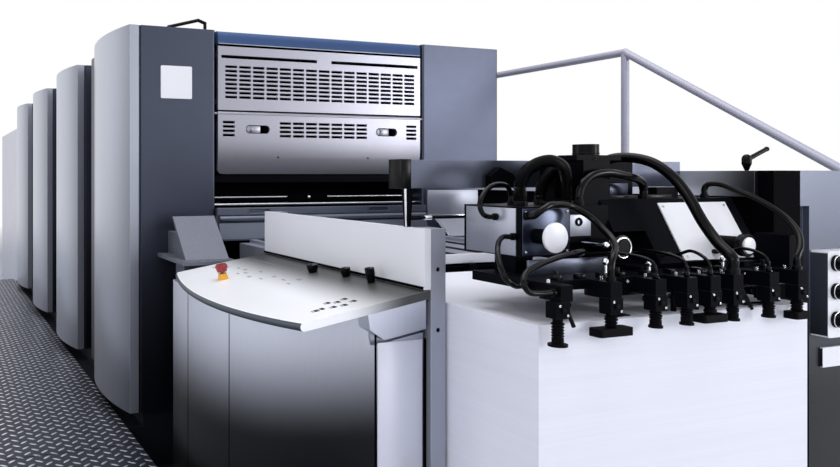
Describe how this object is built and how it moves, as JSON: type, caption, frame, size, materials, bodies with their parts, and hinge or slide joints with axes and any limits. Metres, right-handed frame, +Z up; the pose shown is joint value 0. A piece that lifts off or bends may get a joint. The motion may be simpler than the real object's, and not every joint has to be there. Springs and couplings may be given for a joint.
{
  "type": "offset printing press",
  "caption": "Sheet-fed offset press: a row of printing units with curved side covers, a feeder with suction head, hoses and paper pile, a sloping console, galleries and a delivery.",
  "frame": {"origin": "on the floor, midway between the side frames, at the front of the first printing unit", "axes": "+X to the drive side, +Y along the sheet travel towards the delivery, +Z up"},
  "size_m": [3.271, 9.4429, 2.1176],
  "materials": {
    "black_base": "matt black paint",
    "dark_frame": "dark blue-grey structured paint",
    "core_black": "matt black",
    "silver_cover": "satin silver lacquer",
    "guard_silver": "light satin silver lacquer",
    "header_blue": "deep blue lacquer",
    "plate_white": "smooth white lacquer",
    "bright_steel": "ground steel",
    "tread_plate": "rolled tread plate",
    "grey_paint": "mid grey satin paint",
    "light_grey": "light grey satin paint",
    "brushed_desk": "brushed steel sheet",
    "stop_red": "dark red plastic",
    "collar_yellow": "amber yellow plastic",
    "black_plastic": "matt black plastic",
    "black_hose": "black hose rubber",
    "soft_rubber": "soft black rubber",
    "board_wood": "plain sealed board",
    "paper": "stacked uncoated paper"
  },
  "bodies": {
    "frame": {"base_frame": "black_base", "side_frames": "dark_frame", "unit_cores": "core_black", "side_covers": "silver_cover", "drive_covers": "silver_cover", "upper_guards": "guard_silver", "header_bands": "header_blue", "other_lower_guards": "guard_silver", "rear_panels": "dark_frame", "top_pipes": "black_plastic", "bare_plate": "plate_white", "infeed_rods": "bright_steel", "infeed_guard": "grey_paint", "gallery_plates": "tread_plate", "gallery_frame": "black_base", "drive_platform": "tread_plate", "drive_handrail": "grey_paint", "feeder_side_frame": "light_grey", "side_panel": "plate_white", "desk_top": "brushed_desk", "console_cabinet": "brushed_desk", "leaning_plate": "light_grey", "stop_collar": "collar_yellow", "crossbar": "grey_paint", "bar_stanchion": "bright_steel", "drive_housing": "grey_paint", "drive_pillar": "core_black", "control_box": "plate_white", "control_buttons": "black_plastic", "head_housing": "core_black", "suction_beam": "core_black", "head_plate": "plate_white", "head_knobs": "black_plastic", "smooth_hoses": "black_hose", "ribbed_hoses": "black_hose", "hose_fittings": "black_plastic", "sucker_feet": "soft_rubber", "feed_table": "light_grey", "feed_tapes": "soft_rubber", "sheet_stops": "bright_steel", "lift_columns": "black_base", "delivery_housing": "dark_frame", "delivery_hood": "silver_cover", "delivery_board": "board_wood", "delivery_pile": "paper"},
    "lower_guard": {"unit_1_lower_guard": "guard_silver"},
    "stop": {"stop_button": "stop_red"},
    "front_knob": {"knob_front": "black_plastic"},
    "middle_knob": {"knob_middle": "black_plastic"},
    "rear_knob": {"knob_rear": "black_plastic"},
    "lever": {"clamp_lever": "black_plastic"},
    "pile_lift": {"pile_board": "board_wood", "paper_pile": "paper"}
  },
  "joints": [
    {"name": "lower_guard_hinge", "type": "hinge", "parent": "frame", "child": "lower_guard", "pos_m": [0, 0.01, 1.667], "axis": [-1, 0, 0], "range_deg": [0, 80]},
    {"name": "pile_lift_slide", "type": "slide", "parent": "frame", "child": "pile_lift", "axis": [0, 0, 1], "range_m": [-0.36, 0]},
    {"name": "stop_push", "type": "slide", "parent": "frame", "child": "stop", "axis": [-0.1633, 0, 0.9866], "range_m": [-0.005, 0]},
    {"name": "front_knob_turn", "type": "hinge", "parent": "frame", "child": "front_knob", "pos_m": [-0.5609, -0.955, 1.03461], "axis": [-0.1633, 0, 0.9866], "range_deg": [-135, 135]},
    {"name": "middle_knob_turn", "type": "hinge", "parent": "frame", "child": "middle_knob", "pos_m": [-0.52933, -1.13, 1.03983], "axis": [-0.1633, 0, 0.9866], "range_deg": [-135, 135]},
    {"name": "rear_knob_turn", "type": "hinge", "parent": "frame", "child": "rear_knob", "pos_m": [-0.52933, -1.285, 1.03983], "axis": [-0.1633, 0, 0.9866], "range_deg": [-135, 135]},
    {"name": "clamp_lever_turn", "type": "hinge", "parent": "frame", "child": "lever", "pos_m": [0.625, -1.65, 1.39], "axis": [0, 0, 1], "range_deg": [-90, 90]}
  ]
}
